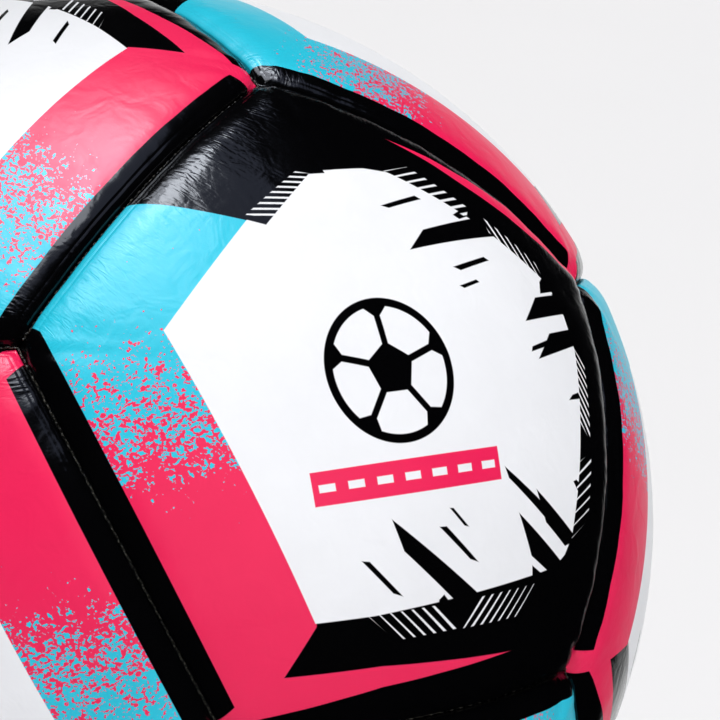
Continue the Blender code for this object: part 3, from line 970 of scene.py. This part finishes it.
def add_bladder(placement):
    """A moulded sphere with a stem hole at the pole and a low flash line round its equator."""
    hole = (VALVE_STEM_RADIUS + FIT_GAP) / BLADDER_RADIUS
    polar = np.linspace(hole, math.pi, BLADDER_RINGS)
    level = BLADDER_RADIUS * (polar - math.pi / 2)
    flash = FLASH_HEIGHT * np.exp(-((level / FLASH_WIDTH) ** 2))
    outer = BLADDER_RADIUS - FLASH_ROOM + flash
    inner = np.full_like(polar, CAVITY_RADIUS)
    # From the far pole along the inside to the hole, and back along the outside.
    radii = np.concatenate([inner[::-1], outer])
    angles = np.concatenate([polar[::-1], polar])
    profile = np.stack([radii * np.sin(angles), radii * np.cos(angles)], -1)
    mesh = turned_mesh("bladder_shell", profile.tolist(), BLADDER_STEPS)
    rubber = rubber_material("bladder_rubber", "17171A", "2B2B2F", 0.42, 0.8)
    add_piece(mesh, rubber, ["bladder"], placement)
    return rubber


def add_balance_patch(placement, rubber):
    """A disc that follows the bladder's wall opposite the valve, and thins out towards its rim."""
    outer = CAVITY_RADIUS - FACET_CLEARANCE
    turns = np.linspace(0, BALANCE_RADIUS / outer, 9)
    reach = outer * np.sin(turns)
    fall = outer * (1 - np.cos(turns))
    wall_side = [(r, outer - d) for r, d in zip(reach, fall)]
    rim = (BALANCE_RADIUS, wall_side[-1][1] - BALANCE_RIM)
    # The inner side stops short of the rim by two rings, and is flatter than the wall.
    low = outer - BALANCE_THICKNESS
    inner_side = [(r, low - d * 0.6) for r, d in zip(reach[-3::-1], fall[-3::-1])]
    profile = [(r, -z) for r, z in [*wall_side, rim, *inner_side]]
    add_piece(turned_mesh("balance_disc", profile), rubber, ["balance_patch"], placement)


def add_valve(placement):
    """The rubber valve: a head flush in the cover, a stem, and a flange bonded inside the bladder."""
    under = CAVITY_RADIUS - FACET_CLEARANCE
    fall = VALVE_FLANGE_RADIUS**2 / (2 * under)
    stem = VALVE_STEM_RADIUS
    ledge = VALVE_FACE - VALVE_LEDGE_DEPTH
    head_foot = VALVE_FACE - VALVE_HEAD_THICKNESS
    foot = VALVE_FACE - VALVE_LENGTH
    seat = VALVE_FACE - CORE_RECESS - CORE_LENGTH - FIT_GAP
    body = [
        (VALVE_BORE_RADIUS, ledge, True),
        (VALVE_BORE_RADIUS + VALVE_LEDGE_WIDTH, ledge, True),
        (VALVE_BORE_RADIUS + VALVE_LEDGE_WIDTH + VALVE_LEDGE_SLOPE, VALVE_FACE, True),
        (VALVE_HEAD_RADIUS, VALVE_FACE, True),
        (VALVE_HEAD_RADIUS, head_foot, True),
        (stem, head_foot, True),
        (stem, under - VALVE_FLANGE_FILLET, True),
        (VALVE_FLANGE_RADIUS, under - fall),
        (VALVE_FLANGE_RADIUS, under - fall - VALVE_FLANGE_RIM),
        (stem, under - VALVE_FLANGE_THICKNESS - 2 * VALVE_FLANGE_FILLET, True),
        (stem, foot + VALVE_TIP_LENGTH, True),
        (stem - VALVE_TIP_TAPER, foot, True),
        (VALVE_OUTLET_RADIUS, foot),
        (VALVE_OUTLET_RADIUS, seat),
        (VALVE_BORE_RADIUS, seat),
    ]
    outline = rounded(body, VALVE_ROUNDING)
    stem_mesh = turned_mesh("valve_stem", [*outline, outline[0]])
    rubber = rubber_material("valve_rubber", "101012", "1F1F22", 0.38, 1.6)
    add_piece(stem_mesh, rubber, ["valve_body"], placement)

    top = VALVE_FACE - CORE_RECESS
    bottom = top - CORE_LENGTH
    radius = VALVE_BORE_RADIUS - FIT_GAP
    core = [
        (0, top - NEEDLE_DEPTH),
        (NEEDLE_RADIUS, top - NEEDLE_DEPTH),
        (NEEDLE_RADIUS, top - LEAD_IN_DEPTH, True),
        (LEAD_IN_RADIUS, top, True),
        (radius, top, True),
        (radius, bottom + CORE_TIP_LENGTH, True),
        (radius - CORE_TIP_TAPER, bottom, True),
        (0, bottom),
    ]
    plug = turned_mesh("valve_plug", rounded(core, CORE_ROUNDING))
    soft_rubber = rubber_material("core_rubber", "5E1512", "7E241C", 0.4, 1.6)
    add_piece(plug, soft_rubber, ["valve_core"], placement)


def add_rebound_foam():
    """A lumpy mass of bonded foam that lies at the bottom of the bladder."""
    work = bmesh.new()
    bmesh.ops.create_icosphere(work, subdivisions=5, radius=FILLING_RADIUS - LUMP_ROOM)
    rest = CAVITY_RADIUS - FILLING_RADIUS * FILLING_FLATNESS - FILLING_CLEARANCE
    for vert in work.verts:
        at = vert.co / MM
        lumps = math.sin(at.x * 0.23 + 1.3 * math.sin(at.y * 0.17)) * math.sin(at.y * 0.21 + 0.8)
        lumps += 0.6 * math.sin(at.z * 0.31 + at.x * 0.13) * math.sin(at.x * 0.37 - at.y * 0.11)
        vert.co += vert.co.normalized() * lumps * LUMP_HEIGHT
        vert.co.z *= FILLING_FLATNESS
        vert.co.z -= rest
    mesh = bpy.data.meshes.new("bonded_foam_mass")
    work.to_mesh(mesh)
    work.free()
    mesh.shade_smooth()
    mass = add_piece(mesh, chip_foam_material(), ["rebound_foam"])


# The stage.

CAMERA_AIM = Vector((39.9, -17.3, 32.7)) * MM
CAMERA_DISTANCE = 551.5 * MM
CAMERA_AZIMUTH = math.radians(-36.6)
CAMERA_ELEVATION = math.radians(16.84)
CAMERA_ROLL = math.radians(5.32)
CAMERA_LENS = 145.8

SOFTBOX_DISTANCE = 1.3
# Each softbox: its name, the direction it lies in, its reach to each side, its yaw in degrees, its radiance
# and its colour. The direction and the reach are the X and Y of unit vectors.
SOFTBOXES = (
    ("overhead", (-0.05, -0.1), (0.4, 0.5), 0, 0.6, (0.62, 0.7, 1.0)),
    ("key", (-0.2, 0.0), (0.3, 0.42), -20, 4.6, (0.87, 0.92, 1.0)),
    ("key_core", (-0.01, 0.07), (0.12, 0.2), -20, 8.0, (0.87, 0.92, 1.0)),
)
# Each sun: its name, the direction it shines from, its width in degrees and its strength.
SUNS = (
    ("top_light", (-0.15, 0.05, 0.98), 40, 2.35),
    ("front_fill", (0.0, -0.9, 0.3), 60, 1.45),
)
# The side of the studio that the camera stands on, its even light, and how bright the rest looks.
STUDIO_FRONT = Vector((-0.57, -0.77, 0.29)).normalized()
STUDIO_AMBIENT = 0.30
BACKDROP = 0.9
MIRRORED_BACKDROP = 0.85

FLOOR_HALF = 15.0
FLOOR_ROUGHNESS = 0.9


def add_camera():
    level = (math.sin(CAMERA_AZIMUTH), -math.cos(CAMERA_AZIMUTH))
    back = Vector((*level, math.tan(CAMERA_ELEVATION))).normalized()
    turn = (-back).to_track_quat("-Z", "Y").to_matrix() @ Matrix.Rotation(CAMERA_ROLL, 3, "Z")
    camera = bpy.data.objects.new("camera", bpy.data.cameras.new("camera"))
    bpy.context.scene.collection.objects.link(camera)
    camera.matrix_world = Matrix.Translation(CAMERA_AIM + back * CAMERA_DISTANCE) @ turn.to_4x4()
    camera.data.lens = CAMERA_LENS
    camera.data.clip_start = 0.01
    bpy.context.scene.camera = camera


def add_softbox(name, towards, reach, yaw, radiance, colour):
    """A rectangular light over the ball, mirrored in the film but adding nothing to matt shading."""
    across, along = (2 * SOFTBOX_DISTANCE * math.tan(math.asin(part)) for part in reach)
    light = bpy.data.lights.new(name, "AREA")
    light.shape = "RECTANGLE"
    light.size = across
    light.size_y = along
    light.energy = radiance * math.pi * across * along
    light.color = colour
    lamp = bpy.data.objects.new(name, light)
    bpy.context.scene.collection.objects.link(lamp)
    back = Vector((*towards, math.sqrt(1 - towards[0] ** 2 - towards[1] ** 2)))
    side = Vector((math.cos(math.radians(yaw)), math.sin(math.radians(yaw)), 0))
    side = (side - back * side.dot(back)).normalized()
    turn = Matrix((side, back.cross(side), back)).transposed()
    lamp.matrix_world = Matrix.Translation(back * SOFTBOX_DISTANCE) @ turn.to_4x4()
    lamp.visible_camera = False
    lamp.visible_diffuse = False


def add_sun(name, direction, softness, strength):
    """Even light from one side, for matt shading only."""
    light = bpy.data.lights.new(name, "SUN")
    light.energy = strength
    light.angle = math.radians(softness)
    lamp = bpy.data.objects.new(name, light)
    bpy.context.scene.collection.objects.link(lamp)
    lamp.rotation_mode = "QUATERNION"
    lamp.rotation_quaternion = (-Vector(direction)).to_track_quat("-Z", "Y")
    lamp.visible_glossy = False


def add_world():
    """A studio that is pale to look at, evenly lit, and dark in front of the ball where it would be
    mirrored in the black ink."""
    world = bpy.data.worlds.new("studio")
    bpy.context.scene.world = world
    world.use_nodes = True
    nodes = Nodes(world.node_tree)
    towards = nodes.add("ShaderNodeTexCoord").outputs["Generated"]
    behind = nodes.dot(towards, (-STUDIO_FRONT.x, -STUDIO_FRONT.y, -STUDIO_FRONT.z))
    mirrored = nodes.spread(behind, 0.78, 0.94, 0.0, MIRRORED_BACKDROP)
    rays = nodes.add("ShaderNodeLightPath").outputs
    even = nodes.math("SUBTRACT", mirrored, STUDIO_AMBIENT)
    strength = nodes.math("MULTIPLY_ADD", rays["Is Glossy Ray"], even, STUDIO_AMBIENT)
    strength = nodes.math("MULTIPLY_ADD", rays["Is Camera Ray"], BACKDROP - STUDIO_AMBIENT, strength)
    background = world.node_tree.nodes["Background"]
    nodes.put(background.inputs["Color"], (0.985, 0.99, 1.0, 1.0))
    nodes.put(background.inputs["Strength"], strength)


def add_floor(height):
    work = bmesh.new()
    bmesh.ops.create_grid(work, x_segments=8, y_segments=8, size=FLOOR_HALF)
    bmesh.ops.translate(work, verts=work.verts[:], vec=(0, 0, height))
    mesh = bpy.data.meshes.new("floor")
    work.to_mesh(mesh)
    work.free()
    floor = bpy.data.objects.new("floor", mesh)
    bpy.context.scene.collection.objects.link(floor)
    made, shader = new_material("studio_floor")
    nodes = Nodes(made.node_tree)
    tone = nodes.noise(nodes.place(), 0.004, 2.0)
    nodes.put(shader["Base Color"], nodes.mix(tone, srgb("E2E1E2"), srgb("E5E4E5")))
    shader["Roughness"].default_value = FLOOR_ROUGHNESS
    mesh.materials.append(made)
    floor.visible_glossy = False
    floor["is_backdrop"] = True


def add_stage(floor_height):
    add_floor(floor_height)
    add_world()
    for softbox in SOFTBOXES:
        add_softbox(*softbox)
    for sun in SUNS:
        add_sun(*sun)
    bpy.context.scene.view_settings.view_transform = "Standard"


def build():
    axes = panel_axes()
    valve_placement = axes[VALVE_PANEL].to_track_quat("Z", "Y").to_matrix()
    add_camera()
    add_covers(axes)
    add_layers(axes)
    add_threads()
    rubber = add_bladder(valve_placement)
    add_balance_patch(valve_placement, rubber)
    add_valve(valve_placement)
    add_rebound_foam()
    add_stage(floor_height=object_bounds()[0].z)


build()
